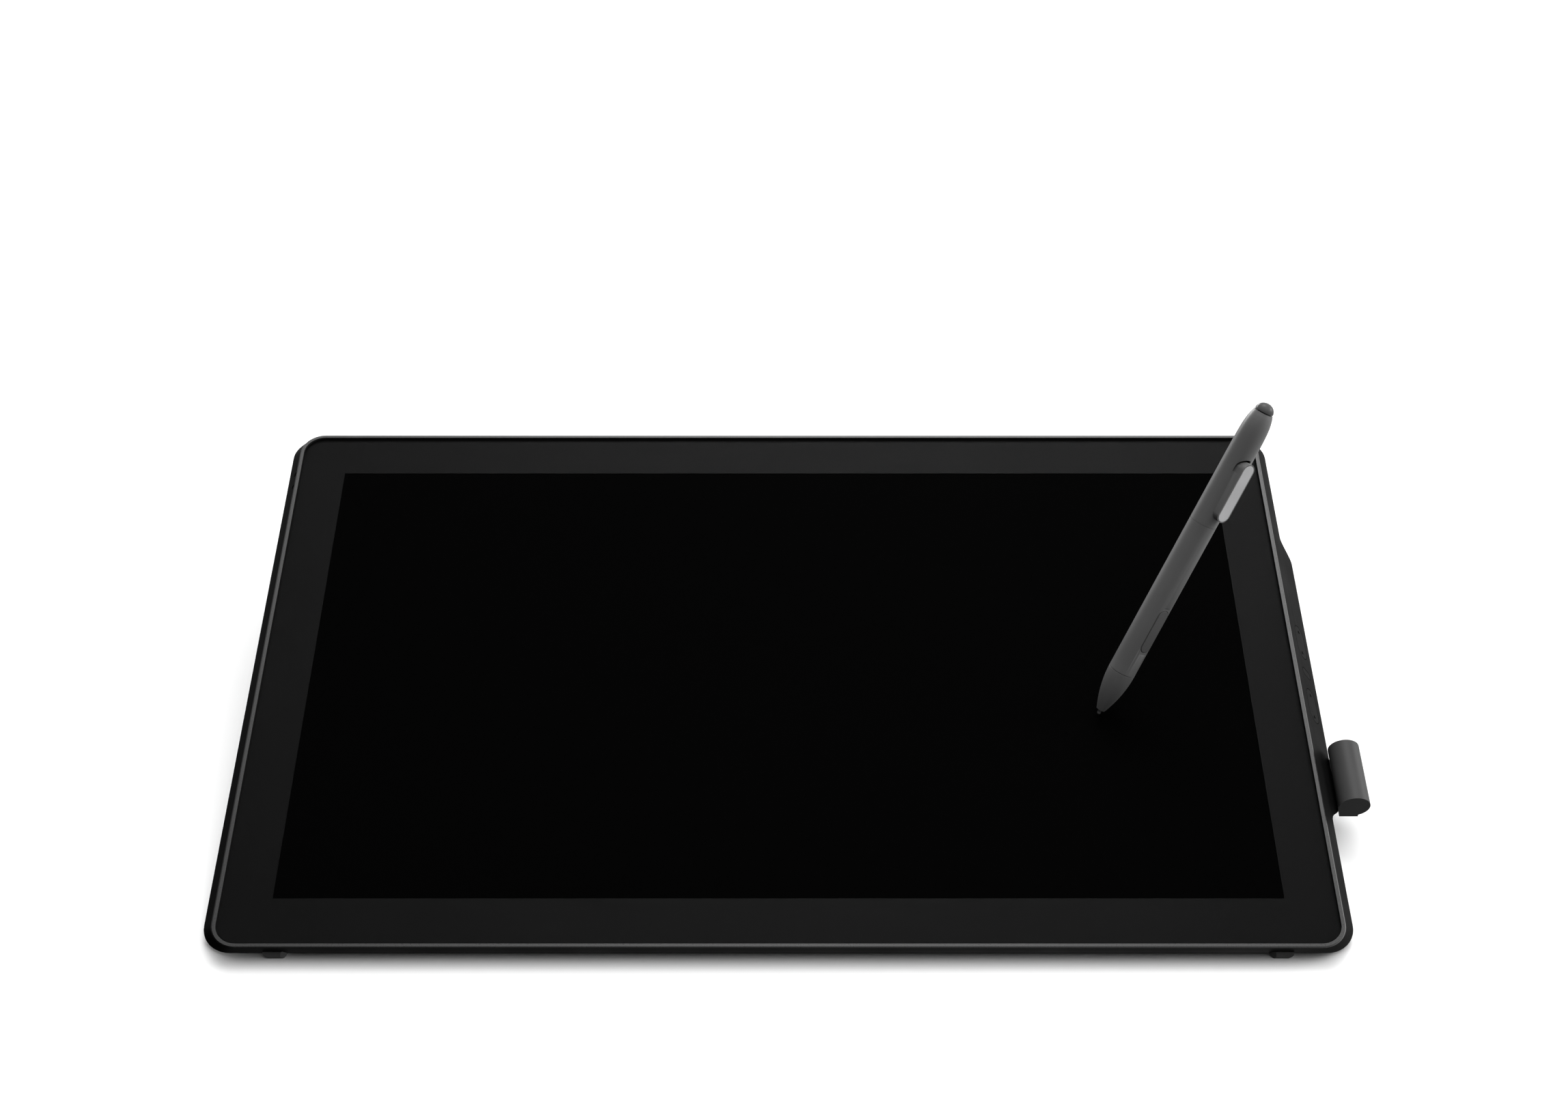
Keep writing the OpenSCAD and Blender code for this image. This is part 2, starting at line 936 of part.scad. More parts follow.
// The tube stands on an arm that reaches under the deeper wall
module pen_holder() {
    arm_left = 285;
    web_left = side_x(pod_depth) + 0.3;
    color([0.16, 0.16, 0.17])
        plate()
            difference() {
                union() {
                    translate([holder_x, holder_low, holder_n])
                        rotate([-90, 0, 0])
                            cylinder(r = holder_r, h = holder_l);
                    translate([arm_left, arm_v, arm_low])
                        cube([holder_x - arm_left, arm_l, -pod_depth - 0.05 - arm_low]);
                    translate([web_left, holder_low + 1, arm_low])
                        cube([holder_x - web_left + 4, holder_l - 2, 8]);
                }
                translate([holder_x, holder_low + holder_floor, holder_n])
                    rotate([-90, 0, 0])
                        cylinder(r = holder_bore_r, h = holder_l);
                for (p = holder_screw_places)
                    translate([p[0], p[1], 0]) {
                        post(1.45, -20, arm_low - 1);
                        post(2.8, arm_low + 1.2, arm_low - 1);
                    }
            }
}

module holder_screws() {
    color([0.3, 0.3, 0.31])
        plate()
            for (p = holder_screw_places)
                translate([p[0], p[1], arm_low + 1.2])
                    screw(1.25, 7, 2.6, 1.1);
}

module hinge_bore(r, l) {
    rotate([0, 90, 0])
        cylinder(r = r, h = l, center = true);
}

module stand_brackets() {
    ear_in = arm_w / 2 + ear_gap;
    color([0.3, 0.3, 0.32])
        plate()
            for (s = side)
                translate([s * arm_x, hinge_v, hinge_n])
                    difference() {
                        union() {
                            translate([-27, -15, hump_floor - hinge_n - bracket_t])
                                cube([54, 30, bracket_t - 0.02]);
                            for (e = side)
                                translate([e * (ear_in + ear_t / 2), 0, 0]) {
                                    translate([-ear_t / 2, -10, 0])
                                        cube([ear_t, 20, hump_floor - hinge_n - 1]);
                                    hinge_bore(10, ear_t);
                                }
                        }
                        hinge_bore(hinge_r + 0.02, 60);
                        for (x = side, y = side)
                            translate([x * bracket_holes[0], y * bracket_holes[1], 5])
                                cylinder(r = 2.2, h = 20);
                    }
}

module bracket_screws() {
    color([0.5, 0.5, 0.51])
        plate()
            for (p = stand_post_places)
                translate([p[0], p[1], hump_floor - bracket_t])
                    screw(2, 14, 3.6, 2);
}

module hinge_pins() {
    reach = arm_w / 2 + ear_gap + ear_t;
    color([0.75, 0.75, 0.76])
        plate()
            for (s = side)
                translate([s * arm_x, hinge_v, hinge_n])
                    difference() {
                        union() {
                            translate([0.8, 0, 0])
                                hinge_bore(hinge_r, 2 * reach + 2.4);
                            translate([-reach - 1.05, 0, 0])
                                hinge_bore(6.5, 2);
                        }
                        translate([reach + 0.6, 0, 0])
                            difference() {
                                hinge_bore(6, 0.9);
                                hinge_bore(3.2, 1);
                            }
                    }
}

module pin_clips() {
    reach = arm_w / 2 + ear_gap + ear_t;
    color([0.4, 0.4, 0.42])
        plate()
            for (s = side)
                translate([s * arm_x + reach + 0.6, hinge_v, hinge_n])
                    difference() {
                        hinge_bore(6.5, 0.8);
                        hinge_bore(3.22, 1);
                        translate([-1, -2.4, 0])
                            cube([2, 4.8, 10]);
                    }
}

module friction_washers() {
    color([0.6, 0.55, 0.4])
        plate()
            for (s = side, e = side)
                translate([s * arm_x + e * (arm_w / 2 + ear_gap / 2), hinge_v, hinge_n])
                    difference() {
                        hinge_bore(8, 1);
                        hinge_bore(hinge_r + 0.03, 2);
                    }
}

module stand_leg() {
    leg_w = 2 * arm_x + arm_w;
    color([0.15, 0.15, 0.16])
        leg_frame()
            difference() {
                union() {
                    translate([0, 0, -arm_t / 2])
                        linear_extrude(arm_t)
                            difference() {
                                outline([leg_w / 2, 0, leg_len, 14]);
                                outline([leg_w / 2 - arm_w, -40, leg_len - 24, 14]);
                                for (s = side)
                                    translate([s * arm_x - arm_w / 2 - 1, -20])
                                        square([arm_w + 2, 20]);
                            }
                    for (s = side) {
                        translate([s * arm_x, 0, 0])
                            hinge_bore(8, arm_w);
                        translate([s * arm_x - arm_w / 2, 0, -arm_t / 2])
                            cube([arm_w, 20, arm_t]);
                    }
                    translate([0, leg_len, 0])
                        hinge_bore(bar_r, leg_w - 20);
                }
                for (s = side)
                    translate([s * arm_x, 0, 0])
                        hinge_bore(hinge_r + run_fit, arm_w + 10);
            }
}

module stand_feet() {
    bar_y = hinge_y + leg_len * cos(leg_pitch);
    color([0.08, 0.08, 0.08])
        world()
            difference() {
                for (s = side)
                    translate([s * 78 - 31, bar_y - 7, 0])
                        cube([62, 14, 5.4]);
                translate([0, bar_y, bar_height])
                    hinge_bore(bar_r + 0.03, 300);
            }
}

// A turned shell: radius by a list of [radius, station] points
module turned(points) {
    rotate_extrude()
        polygon(points);
}

nose_steps = 14;
tail_steps = 12;
nose_outer = [for (i = [0:nose_steps])
    let (t = between(nose_start, nose_end, i / nose_steps)) [nose_radius(t), t]];
tail_outer = [for (i = [0:tail_steps])
    let (t = between(tail_start, tail_end, i / tail_steps)) [tail_radius(t), t]];

module pen_nose() {
    hole_r = nib_r + run_fit;
    hollow_r = pen_bore_r - 1.2;
    color([0.2, 0.2, 0.21])
        pen_frame()
            turned(concat(
                [[hole_r, nose_start]],
                nose_outer,
                [[hollow_r, nose_end], [hollow_r, 16], [3.4, 9], [hole_r, 9]]
            ));
}

module pen_front_barrel() {
    color([0.22, 0.22, 0.23])
        pen_frame()
            difference() {
                turned([[pen_bore_r, nose_end + seam], [pen_r - 0.2, nose_end + seam],
                        [pen_r, nose_end + seam + 0.3], [pen_r, mid_joint], [pen_bore_r, mid_joint]]);
                translate([pen_bore_r - 1, 0, switch_mid])
                    rotate([0, 90, 0])
                        linear_extrude(4)
                            rotate(90)
                                pill(switch_l + 0.6, switch_w + 0.6);
                translate([switch_top - 0.1, 0, switch_mid])
                    rotate([0, 90, 0])
                        linear_extrude(4)
                            rotate(90)
                                pill(switch_l + 4, switch_w + 3);
            }
}

module pen_rear_barrel() {
    color([0.22, 0.22, 0.23])
        pen_frame()
            difference() {
                union() {
                    turned(concat(
                        [[0, mid_joint + seam], [pen_r, mid_joint + seam]],
                        tail_outer,
                        [[0, tail_end]]
                    ));
                    translate([0, 0, fin_mid])
                        rotate([0, 90, 0])
                            linear_extrude(fin_top)
                                rotate(90)
                                    pill(fin_l, fin_w);
                }
                translate([0, 0, mid_joint])
                    cylinder(r = pen_bore_r, h = tail_start + 6 - mid_joint);
                translate([0, 0, tail_start])
                    cylinder(r = stem_r + run_fit, h = 40);
                translate([fin_top - 0.5, 0, fin_mid])
                    rotate([0, 90, 0])
                        linear_extrude(2)
                            rotate(90)
                                pill(fin_l - 2 * fin_edge + 0.1, fin_w - 2 * fin_edge + 0.1);
                tether_hook();
            }
}

// A slot along the foot of the clip that curves round its tail end, for the tether's loop
module tether_hook() {
    foot_r = fin_w / 2 - 0.1;
    slot_w = 1.2;
    straight = 3;
    translate([4.6, 0, fin_mid + (fin_l - fin_w) / 2])
        rotate([0, 90, 0]) {
            difference() {
                cylinder(r = foot_r + slot_w, h = 4);
                translate([0, 0, -1])
                    cylinder(r = foot_r, h = 6);
                translate([0, -20, -1])
                    cube([20, 40, 6]);
                translate([-20, 1.5, -1])
                    cube([40, 20, 6]);
            }
            translate([0, -foot_r - slot_w, 0])
                cube([straight, slot_w, 4]);
        }
}

module pen_badge() {
    color([0.72, 0.72, 0.73])
        pen_frame()
            translate([fin_top - 0.48, 0, fin_mid])
                rotate([0, 90, 0])
                    linear_extrude(0.6)
                        rotate(90)
                            pill(fin_l - 2 * fin_edge, fin_w - 2 * fin_edge);
}

module pen_coil() {
    color([0.7, 0.35, 0.15])
        pen_frame()
            difference() {
                union() {
                    translate([0, 0, 9.6])
                        cylinder(r = 2.2, h = 20);
                    translate([0, 0, 17])
                        cylinder(r = 3.9, h = 9);
                }
                cylinder(r = nib_r + run_fit, h = 60);
            }
}

module pen_sensor() {
    color([0.5, 0.5, 0.52])
        pen_frame()
            translate([0, 0, nib_l + nib_travel + 0.1])
                cylinder(r = 4, h = 5);
}

module pen_board() {
    color([0.06, 0.32, 0.18])
        pen_frame()
            difference() {
                union() {
                    translate([1.2, -4.5, 37])
                        cube([1, 9, 70]);
                    for (y = side)
                        translate([2.1, y * 2.6 - 0.6, switch_mid - 2])
                            cube([switch_floor - 2.35, 1.2, 4]);
                    for (z = [-9, 9])
                        translate([2.1, -1.5, switch_mid + z - 1.5])
                            cube([1.3, 3, 3]);
                }
                translate([switch_axis, 0, switch_mid])
                    rotate([90, 0, 0])
                        cylinder(r = 0.61, h = 12, center = true);
            }
}

module pen_switch_pin() {
    color([0.75, 0.75, 0.76])
        pen_frame()
            translate([switch_axis, 0, switch_mid])
                rotate([90, 0, 0])
                    cylinder(r = 0.6, h = 6.4, center = true);
}

module pen_side_switch() {
    color([0.17, 0.17, 0.18])
        pen_frame()
            difference() {
                union() {
                    translate([switch_floor, 0, switch_mid])
                        rotate([0, 90, 0])
                            linear_extrude(switch_top - switch_floor)
                                rotate(90)
                                    pill(switch_l, switch_w);
                    translate([switch_axis - 1.1, -1.9, switch_mid - 1.4])
                        cube([switch_floor - switch_axis + 1.2, 3.8, 2.8]);
                    for (z = [-9, 9])
                        translate([3.8, 0, switch_mid + z])
                            rotate([0, 90, 0])
                                cylinder(r = 0.8, h = switch_floor - 3.7);
                }
                translate([switch_axis, 0, switch_mid])
                    rotate([90, 0, 0])
                        cylinder(r = 0.6 + run_fit, h = 12, center = true);
            }
}

module pen_nib() {
    color([0.75, 0.75, 0.74])
        pen_frame() {
            translate([0, 0, nib_r])
                sphere(nib_r);
            translate([0, 0, nib_r])
                cylinder(r = nib_r, h = nib_l - nib_r);
        }
}

module pen_eraser() {
    dome_start = tail_end + eraser_travel + seam;
    dome_h = pen_len - dome_start;
    dome = [for (p = arc(1, 0, 90, 12)) [p[0] * (tail_r - 0.2), dome_start + p[1] * dome_h]];
    color([0.12, 0.12, 0.13])
        pen_frame()
            turned(concat([[0, tail_end - 9], [stem_r, tail_end - 9], [stem_r, dome_start]], dome));
}

cover_glass();
border_mask();
trim_ring();
front_bezel();
rear_cover();
lcd_panel();
light_guide();
led_bar();
panel_tray();
digitizer_board();
shield_plate();
chassis_plate();
chassis_screws();
vesa_bosses();
stand_posts();
main_board();
heat_spreader();
io_board();
board_standoffs();
board_screws();
port_sockets();
panel_cable();
digitizer_cable();
board_cable();
button_board();
button_frame();
tactile_switches();
button_cable();
cover_screws();
front_feet();
pen_holder();
holder_screws();
stand_brackets();
bracket_screws();
hinge_pins();
pin_clips();
friction_washers();
stand_leg();
stand_feet();
upper_rocker();
lower_rocker();
rocker_pins();
centre_button();
pen_nose();
pen_front_barrel();
pen_rear_barrel();
pen_badge();
pen_coil();
pen_sensor();
pen_board();
pen_switch_pin();
pen_side_switch();
pen_nib();
pen_eraser();
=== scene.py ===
"""Looks of the pen drawing tablet: materials, softened edges, studio light and camera."""

import json
import math

import bmesh
import bpy
from mathutils import Euler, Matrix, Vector


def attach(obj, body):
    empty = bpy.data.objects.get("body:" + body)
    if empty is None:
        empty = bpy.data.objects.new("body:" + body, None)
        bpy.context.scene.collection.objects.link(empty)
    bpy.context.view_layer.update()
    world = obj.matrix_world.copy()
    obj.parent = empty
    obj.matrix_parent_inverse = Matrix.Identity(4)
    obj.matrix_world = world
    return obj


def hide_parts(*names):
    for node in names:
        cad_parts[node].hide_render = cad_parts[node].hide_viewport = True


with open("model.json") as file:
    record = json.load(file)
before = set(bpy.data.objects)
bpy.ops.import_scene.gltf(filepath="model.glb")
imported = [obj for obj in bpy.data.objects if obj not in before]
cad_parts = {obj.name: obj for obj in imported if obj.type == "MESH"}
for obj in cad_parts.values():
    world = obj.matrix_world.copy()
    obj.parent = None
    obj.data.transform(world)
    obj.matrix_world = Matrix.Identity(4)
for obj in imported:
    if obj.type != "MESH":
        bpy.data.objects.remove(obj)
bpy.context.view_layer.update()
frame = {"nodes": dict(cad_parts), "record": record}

MM = 0.001
FLAT_ANGLE = math.radians(0.5)  # faces closer than this are one flat face
EDGE_ANGLE = math.radians(32)  # edges sharper than this are rounded
WELD = 0.02 * MM
NODES = frame["nodes"]
RECORD = frame["record"]
SLOT_OF = {part["node"]: part["material_slot"] for part in RECORD["subparts"]}
BODY_OF = {node: body for body, nodes in RECORD["behaviour"]["bodies"].items() for node in nodes}


# ---------------------------------------------------------------- materials
# Noise and cell scales are in repeats per metre, so 1000 / size gives a size in mm.

class Graph:
    """A short way to build a shader's node graph."""

    def __init__(self, name):
        self.material = bpy.data.materials.new(name)
        self.material.use_nodes = True
        self.tree = self.material.node_tree
        self.shader = self.tree.nodes["Principled BSDF"]

    def node(self, kind, inputs=None, **settings):
        """Adds a node, links the inputs that are sockets and sets the others."""
        made = self.tree.nodes.new(kind)
        for key, value in settings.items():
            setattr(made, key, value)
        for key, value in (inputs or {}).items():
            if isinstance(value, bpy.types.NodeSocket):
                self.tree.links.new(value, made.inputs[key])
            else:
                made.inputs[key].default_value = value
        return made

    def set(self, **inputs):
        """Sets or links the shader's own inputs."""
        for key, value in inputs.items():
            name = key.replace("_", " ")
            if isinstance(value, bpy.types.NodeSocket):
                self.tree.links.new(value, self.shader.inputs[name])
            else:
                self.shader.inputs[name].default_value = value

    def place(self):
        return self.node("ShaderNodeTexCoord").outputs["Object"]

    def noise(self, scale, detail=2.0, roughness=0.5, vector=None):
        return self.node("ShaderNodeTexNoise", {
            "Vector": vector or self.place(), "Scale": scale, "Detail": detail,
            "Roughness": roughness,
        }).outputs["Fac"]

    def cells(self, scale, randomness=1.0):
        return self.node("ShaderNodeTexVoronoi", {
            "Vector": self.place(), "Scale": scale, "Randomness": randomness,
        }).outputs["Distance"]

    def between(self, value, low, high, start=0.3, end=0.7):
        """Maps start to end onto low to high, and clamps."""
        return self.node("ShaderNodeMapRange", {
            "Value": value, "From Min": start, "From Max": end, "To Min": low, "To Max": high,
        }).outputs["Result"]

    def math(self, operation, a, b):
        return self.node("ShaderNodeMath", {0: a, 1: b}, operation=operation).outputs[0]

    def blend(self, factor, a, b):
        made = self.node("ShaderNodeMix", data_type="RGBA")
        for key, value in (("Factor", factor), ("A", a), ("B", b)):
            socket = next(s for s in made.inputs if s.name == key and s.enabled)
            if isinstance(value, bpy.types.NodeSocket):
                self.tree.links.new(value, socket)
            else:
                socket.default_value = value
        return next(s for s in made.outputs if s.enabled)

    def bump(self, height, depth, strength=1.0):
        normal = self.node("ShaderNodeBump", {
            "Height": height, "Distance": depth, "Strength": strength,
        }).outputs["Normal"]
        self.set(Normal=normal)


def rgba(colour):
    values = (colour,) * 3 if isinstance(colour, float) else colour
    return (*values, 1.0)


def shade(colour, factor):
    return rgba(tuple(min(1.0, c * factor) for c in rgba(colour)[:3]))


def edge_wear(g, amount):
    """Raised edges as a 0 to amount factor, broken up by a fine noise."""
    pointed = g.node("ShaderNodeNewGeometry").outputs["Pointiness"]
    edges = g.between(pointed, 0.0, amount, 0.52, 0.62)
    return g.math("MULTIPLY", edges, g.between(g.noise(900.0), 0.4, 1.0))


def moulded(name, colour, roughness=0.5, grain=0.28, depth=0.006, specular=0.4, spread=0.1,
            wear=0.25, mottle=0.07):
    """Textured moulded plastic. grain is the size of its texture in mm, depth its height in mm."""
    g = Graph(name)
    texture = g.noise(1000.0 / grain, 3.0, 0.6)
    cloud = g.noise(28.0, 3.0)
    tone = g.between(cloud, 0.0, 1.0)
    base = g.blend(tone, shade(colour, 1 - mottle), shade(colour, 1 + mottle))
    base = g.blend(edge_wear(g, wear), base, shade(colour, 1.7))
    speckle = g.between(texture, -spread / 2, spread / 2)
    cloudy = g.between(cloud, roughness - spread / 2, roughness + spread / 2)
    g.set(Base_Color=base, Roughness=g.math("ADD", cloudy, speckle),
          Specular_IOR_Level=specular)
    g.bump(texture, depth * MM)
    return g.material


def sheet_metal(name, colour, roughness=0.35, scratch=0.15, depth=0.004, metallic=1.0,
                stretch=(1.0, 30.0, 30.0)):
    """Rolled or brushed metal: long fine scratches along x, and a cloudy sheen."""
    g = Graph(name)
    grain = g.node("ShaderNodeMapping", {"Vector": g.place(), "Scale": stretch}).outputs["Vector"]
    lines = g.noise(160.0, 3.0, 0.6, grain)
    cloud = g.noise(60.0, 2.0)
    base = g.blend(g.between(cloud, 0.0, 1.0), shade(colour, 0.9), shade(colour, 1.06))
    rough = g.math("ADD", g.between(lines, roughness - scratch / 2, roughness + scratch / 2),
                   g.between(cloud, -0.05, 0.05))
    g.set(Base_Color=base, Metallic=metallic, Roughness=rough)
    g.bump(lines, depth * MM)
    return g.material


def coated(name, colour, roughness=0.42, peel=1.4, depth=0.02, specular=0.45):
    """Powder-coated metal with a shallow orange peel."""
    g = Graph(name)
    skin = g.noise(1000.0 / peel, 2.0, 0.45)
    dust = g.noise(2600.0, 1.0)
    base = g.blend(g.between(g.noise(24.0), 0.0, 1.0), shade(colour, 0.93), shade(colour, 1.07))
    base = g.blend(edge_wear(g, 0.3), base, shade(colour, 1.8))
    g.set(Base_Color=base, Specular_IOR_Level=specular,
          Roughness=g.math("ADD", g.between(skin, roughness - 0.04, roughness + 0.06),
                           g.between(dust, -0.03, 0.03)))
    g.bump(g.math("ADD", skin, g.math("MULTIPLY", dust, 0.15)), depth * MM)
    return g.material


def rubber(name, colour):
    """Matt rubber with fine open pores."""
    g = Graph(name)
    pores = g.cells(2200.0)
    cloud = g.noise(120.0, 3.0)
    g.set(Base_Color=g.blend(g.between(cloud, 0.0, 1.0), shade(colour, 0.85), shade(colour, 1.15)),
          Roughness=g.between(cloud, 0.68, 0.86), Specular_IOR_Level=0.25)
    g.bump(pores, 0.03 * MM, 0.7)
    return g.material


def etched_glass(name):
    """Anti-glare glass: a faint rough sheen over what lies behind it."""
    g = Graph(name)
    etch = g.noise(5200.0, 2.0, 0.6)
    g.set(Base_Color=rgba(0.002), Roughness=g.between(etch, 0.3, 0.4), Alpha=0.04,
          Specular_IOR_Level=0.02)
    g.bump(etch, 0.0015 * MM)
    return g.material


def screen_black(name, colour, roughness, specular, pitch=0.27):
    """The panel's dark face, with the fine grid of its pixels."""
    g = Graph(name)
    cells = g.cells(1000.0 / pitch, randomness=0.0)
    base = g.blend(g.between(cells, 0.0, 1.0, 0.2, 0.6), shade(colour, 1.15), shade(colour, 0.8))
    g.set(Base_Color=base, Roughness=g.between(g.noise(40.0), roughness - 0.05, roughness + 0.05),
          Specular_IOR_Level=specular)
    g.bump(cells, 0.001 * MM, 0.4)
    return g.material


def printed_black(name, colour):
    """Satin black print under the glass."""
    g = Graph(name)
    film = g.noise(3000.0, 2.0)
    base = g.blend(g.between(g.noise(18.0, 2.0), 0.0, 1.0), shade(colour, 0.94),
                   shade(colour, 1.06))
    g.set(Base_Color=base, Roughness=g.between(film, 0.28, 0.36), Specular_IOR_Level=0.035)
    g.bump(film, 0.001 * MM)
    return g.material


def circuit(name, colour=(0.016, 0.085, 0.045)):
    """Solder mask with copper tracks showing through as lighter lines."""
    g = Graph(name)
    tracks = g.node("ShaderNodeTexBrick", {
        "Vector": g.place(), "Scale": 260.0, "Mortar Size": 0.035, "Color1": rgba(0.0),
        "Color2": rgba(0.0), "Mortar": rgba(1.0),
    }).outputs["Fac"]
    base = g.blend(tracks, shade(colour, 1.0), shade(colour, 1.9))
    g.set(Base_Color=base, Roughness=g.between(g.noise(400.0), 0.28, 0.4))
    g.bump(tracks, 0.02 * MM)
    return g.material


def film(name, colour):
    """Flat cable: copper strips under a yellow film."""
    g = Graph(name)
    strips = g.node("ShaderNodeTexWave", {"Vector": g.place(), "Scale": 160.0},
                    bands_direction="X").outputs["Fac"]
    base = g.blend(strips, shade(colour, 0.75), shade(colour, 1.15))
    g.set(Base_Color=base, Roughness=g.between(g.noise(200.0), 0.3, 0.42), Coat_Weight=0.3)
    g.bump(strips, 0.03 * MM)
    return g.material


def wound(name, colour):
    """Fine enamelled wire wound round a core."""
    g = Graph(name)
    turns = g.node("ShaderNodeTexWave", {"Vector": g.place(), "Scale": 900.0},
                   bands_direction="DIAGONAL").outputs["Fac"]
    # The bands paint shade into the grooves between turns and a highlight on their tops; the bump
    # gives the real ridges.
    base = g.blend(turns, shade(colour, 0.6), shade(colour, 1.2))
    g.set(Base_Color=base, Metallic=0.6, Roughness=g.between(g.noise(600.0), 0.3, 0.45))
    g.bump(turns, 0.04 * MM)
    return g.material


def clear_plastic(name, colour):
    """Acrylic light guide with its grid of printed dots."""
    g = Graph(name)
    dots = g.cells(700.0)
    base = g.blend(g.between(dots, 0.0, 1.0, 0.1, 0.5), shade(colour, 1.0), shade(colour, 0.85))
    g.set(Base_Color=base, Roughness=g.between(dots, 0.12, 0.25, 0.1, 0.5), IOR=1.49,
          Transmission_Weight=0.4)
    g.bump(dots, 0.01 * MM)
    return g.material


MATERIALS = {
    "glass": etched_glass("etched_glass"),
    "border_ink": printed_black("border_print", 0.0058),
    "trim": coated("trim_satin", 0.024, roughness=0.3, peel=0.5, depth=0.002, specular=0.6),
    "casing": moulded("casing_plastic", 0.006, roughness=0.55, specular=0.03),
    "lcd": screen_black("panel_black", 0.0012, 0.5, 0.0),
    "guide": clear_plastic("guide_acrylic", 0.8),
    "led": moulded("led_white", (0.7, 0.66, 0.5), roughness=0.4, wear=0.0),
    "sheet_steel": sheet_metal("zinc_sheet", (0.55, 0.56, 0.57)),
    "screw": sheet_metal("black_screw", 0.06, roughness=0.38, stretch=(8.0, 8.0, 8.0)),
    "boss_steel": sheet_metal("boss_plate", (0.5, 0.49, 0.45), stretch=(8.0, 8.0, 40.0)),
    "circuit_board": circuit("solder_mask"),
    "aluminium": sheet_metal("milled_aluminium", (0.68, 0.69, 0.7), roughness=0.3),
    "brass": sheet_metal("turned_brass", (0.6, 0.42, 0.17), roughness=0.28),
    "socket_steel": sheet_metal("socket_shell", (0.5, 0.5, 0.51), roughness=0.26),
    "flat_cable": film("cable_film", (0.42, 0.2, 0.05)),
    "inner_plastic": moulded("inner_plastic", 0.04, roughness=0.45),
    "foot_rubber": rubber("foot_rubber", 0.1),
    "holder": moulded("holder_plastic", 0.06, roughness=0.5, specular=0.25),
    "stand_metal": coated("stand_coat", 0.03),
    "pin_steel": sheet_metal("ground_pin", (0.6, 0.6, 0.61), roughness=0.22, scratch=0.08),
    "button": moulded("button_plastic", 0.011, roughness=0.5, specular=0.02),
    "pen_nose": moulded("pen_nose_plastic", 0.15, roughness=0.44, grain=0.22, specular=0.5),
    "pen_body": moulded("pen_soft_touch", 0.165, roughness=0.45, grain=0.22, specular=0.6),
    "badge": sheet_metal("badge_satin", (0.74, 0.74, 0.75), roughness=0.42, scratch=0.06,
                         depth=0.001, metallic=0.35),
    "coil": wound("coil_wire", (0.4, 0.13, 0.04)),
    "pen_switch": moulded("pen_switch_plastic", 0.11, roughness=0.45, grain=0.22, specular=0.5),
    "nib": moulded("nib_plastic", 0.12, roughness=0.3, grain=0.15, depth=0.002),
    "pen_tail": moulded("tail_gloss", 0.1, roughness=0.26, grain=0.4, depth=0.0006, wear=0.0,
                        spread=0.05, specular=0.12),
}


# ---------------------------------------------------------------- pieces

def cleaned(node):
    """A CAD node's mesh with its seams welded and its flat faces whole again."""
    mesh = bmesh.new()
    mesh.from_mesh(NODES[node].data)
    bmesh.ops.remove_doubles(mesh, verts=mesh.verts, dist=WELD)
    bmesh.ops.dissolve_limit(mesh, angle_limit=FLAT_ANGLE, verts=mesh.verts, edges=mesh.edges)
    return mesh


def shown(name, mesh, slot, body):
    """Adds a finished piece to the scene with its material, slot and body."""
    data = bpy.data.meshes.new(name)
    mesh.to_mesh(data)
    mesh.free()
    data.shade_smooth()
    data.set_sharp_from_angle(angle=EDGE_ANGLE)
    data.materials.append(MATERIALS[slot])
    piece = bpy.data.objects.new(name, data)
    bpy.context.scene.collection.objects.link(piece)
    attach(piece, body)
    return piece


def soften(piece, width):
    """Rounds the piece's edges, with a width in mm."""
    bevel = piece.modifiers.new("soft_edges", "BEVEL")
    bevel.width = width * MM
    bevel.segments = 3
    bevel.limit_method = "ANGLE"
    bevel.angle_limit = EDGE_ANGLE
    bevel.harden_normals = True


def clear_of_glass(piece):
    """Draws the print in by a hair, so its face doesn't coincide with the back of the glass."""
    gap = piece.modifiers.new("hair_gap", "DISPLACE")
    gap.mid_level = 0.0
    gap.strength = -0.02 * MM


def rounded(node, width):
    """Stands in for a CAD node with the same shape and softly rounded edges, width in mm."""
    piece = shown(node + "_shown", cleaned(node), SLOT_OF[node], BODY_OF[node])
    if node == "border_mask":
        clear_of_glass(piece)
    soften(piece, width)
    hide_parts(node)


def painted(node):
    """Gives an inner CAD node, which keeps its plain edges, its material."""
    for material_slot in NODES[node].material_slots:
        material_slot.material = MATERIALS[SLOT_OF[node]]


# Width of each visible node's rounded edges in mm
ROUNDED = {
    "cover_glass": 0.15, "border_mask": 0.02, "trim_ring": 0.12, "front_bezel": 0.3,
    "rear_cover": 0.5, "front_feet": 0.4, "pen_holder": 0.15, "stand_leg": 0.9, "stand_feet": 0.6,
    "stand_brackets": 0.4, "hinge_pins": 0.3, "upper_rocker": 0.3, "lower_rocker": 0.3,
    "centre_button": 0.3, "pen_nose": 0.1, "pen_front_barrel": 0.12, "pen_rear_barrel": 0.5,
    "pen_badge": 0.12, "pen_side_switch": 0.35, "cover_screws": 0.15, "bracket_screws": 0.2,
    "pin_clips": 0.1, "vesa_bosses": 0.2, "pen_eraser": 0.1,
}
for node_name, edge in ROUNDED.items():
    rounded(node_name, edge)

for node_name in NODES:
    if node_name not in ROUNDED:
        painted(node_name)


# ---------------------------------------------------------------- studio

FLOOR_REACH = 6.0  # metres from its middle to its edges
FLOOR_SHADE = 0.96


